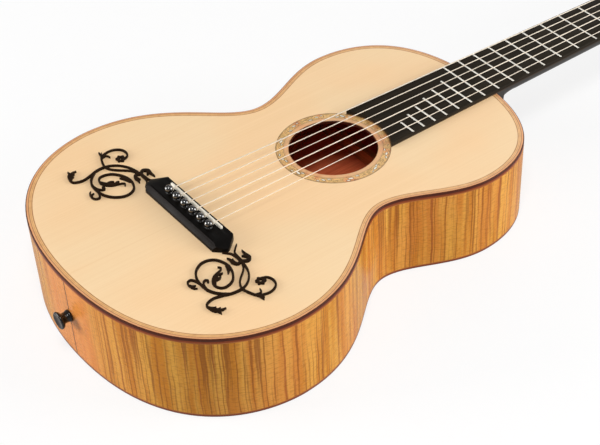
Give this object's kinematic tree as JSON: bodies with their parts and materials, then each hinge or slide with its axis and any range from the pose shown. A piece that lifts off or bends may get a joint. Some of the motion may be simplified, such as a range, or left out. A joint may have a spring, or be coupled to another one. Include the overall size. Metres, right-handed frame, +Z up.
{
  "type": "romantic guitar",
  "caption": "Small waisted six-string guitar with a pin bridge, scroll ornaments, friction pegs and a hollow soundbox that is open at a round soundhole.",
  "frame": {"origin": "on the underside of the back, straight below the middle of the saddle; the guitar lies on its back", "axes": "+Y along the strings towards the headstock, +Z up out of the soundboard, +X to the treble side"},
  "size_m": [0.3088, 0.922, 0.0998],
  "materials": {
    "spruce": "satin, pale and even grained",
    "flamed_wood": "glossy golden brown with dark flames across the grain",
    "binding_wood": "glossy red brown",
    "purfling_wood": "satin stripes of light and dark wood",
    "rosette_wood": "satin, inlaid with pale chips",
    "inner_wood": "raw",
    "black_wood": "black satin lacquer",
    "ebony": "polished",
    "bone": "polished bone",
    "nylon": "smooth, slightly clear"
  },
  "bodies": {
    "guitar": {"soundboard": "spruce", "back": "flamed_wood", "rib_bass": "flamed_wood", "rib_treble": "flamed_wood", "top_binding": "binding_wood", "back_binding": "binding_wood", "top_purfling": "purfling_wood", "rosette": "rosette_wood", "tail_block": "inner_wood", "neck_block": "inner_wood", "top_lining_bass": "inner_wood", "top_lining_treble": "inner_wood", "back_lining_bass": "inner_wood", "back_lining_treble": "inner_wood", "lower_brace": "inner_wood", "hole_brace": "inner_wood", "shoulder_brace": "inner_wood", "upper_brace": "inner_wood", "back_brace_1": "inner_wood", "back_brace_2": "inner_wood", "back_brace_3": "inner_wood", "back_brace_4": "inner_wood", "bridge_plate": "inner_wood", "neck": "black_wood", "headstock": "black_wood", "heel_cap": "black_wood", "fingerboard": "ebony", "nut": "bone", "saddle": "bone", "bridge": "ebony", "bridge_scroll_bass": "ebony", "bridge_scroll_treble": "ebony", "string_1": "nylon", "string_2": "nylon", "string_3": "nylon", "string_4": "nylon", "string_5": "nylon", "string_6": "nylon"},
    "bridge_pin_1": {"bridge_pin_1": "ebony"},
    "bridge_pin_2": {"bridge_pin_2": "ebony"},
    "bridge_pin_3": {"bridge_pin_3": "ebony"},
    "bridge_pin_4": {"bridge_pin_4": "ebony"},
    "bridge_pin_5": {"bridge_pin_5": "ebony"},
    "bridge_pin_6": {"bridge_pin_6": "ebony"},
    "end_pin": {"end_pin": "ebony"},
    "peg_1": {"peg_1": "ebony", "string_winding_1": "nylon"},
    "peg_2": {"peg_2": "ebony", "string_winding_2": "nylon"},
    "peg_3": {"peg_3": "ebony", "string_winding_3": "nylon"},
    "peg_4": {"peg_4": "ebony", "string_winding_4": "nylon"},
    "peg_5": {"peg_5": "ebony", "string_winding_5": "nylon"},
    "peg_6": {"peg_6": "ebony", "string_winding_6": "nylon"}
  },
  "joints": [
    {"name": "bridge_pin_1_pull", "type": "slide", "parent": "guitar", "child": "bridge_pin_1", "axis": [0, 0.0215, 0.9998], "range_m": [0, 0.03]},
    {"name": "bridge_pin_2_pull", "type": "slide", "parent": "guitar", "child": "bridge_pin_2", "axis": [0, 0.0215, 0.9998], "range_m": [0, 0.03]},
    {"name": "bridge_pin_3_pull", "type": "slide", "parent": "guitar", "child": "bridge_pin_3", "axis": [0, 0.0215, 0.9998], "range_m": [0, 0.03]},
    {"name": "bridge_pin_4_pull", "type": "slide", "parent": "guitar", "child": "bridge_pin_4", "axis": [0, 0.0215, 0.9998], "range_m": [0, 0.03]},
    {"name": "bridge_pin_5_pull", "type": "slide", "parent": "guitar", "child": "bridge_pin_5", "axis": [0, 0.0215, 0.9998], "range_m": [0, 0.03]},
    {"name": "bridge_pin_6_pull", "type": "slide", "parent": "guitar", "child": "bridge_pin_6", "axis": [0, 0.0215, 0.9998], "range_m": [0, 0.03]},
    {"name": "end_pin_pull", "type": "slide", "parent": "guitar", "child": "end_pin", "axis": [0, -1, 0], "range_m": [0, 0.03]},
    {"name": "peg_1_turn", "type": "hinge", "parent": "guitar", "child": "peg_1", "pos_m": [0.022, 0.67046, 0.06443], "axis": [0, 0.1948, 0.9808], "continuous": true},
    {"name": "peg_2_turn", "type": "hinge", "parent": "guitar", "child": "peg_2", "pos_m": [0.022, 0.70675, 0.05722], "axis": [0, 0.1948, 0.9808], "continuous": true},
    {"name": "peg_3_turn", "type": "hinge", "parent": "guitar", "child": "peg_3", "pos_m": [0.022, 0.74403, 0.04982], "axis": [0, 0.1948, 0.9808], "continuous": true},
    {"name": "peg_4_turn", "type": "hinge", "parent": "guitar", "child": "peg_4", "pos_m": [-0.022, 0.74403, 0.04982], "axis": [0, 0.1948, 0.9808], "continuous": true},
    {"name": "peg_5_turn", "type": "hinge", "parent": "guitar", "child": "peg_5", "pos_m": [-0.022, 0.70675, 0.05722], "axis": [0, 0.1948, 0.9808], "continuous": true},
    {"name": "peg_6_turn", "type": "hinge", "parent": "guitar", "child": "peg_6", "pos_m": [-0.022, 0.67046, 0.06443], "axis": [0, 0.1948, 0.9808], "continuous": true}
  ]
}
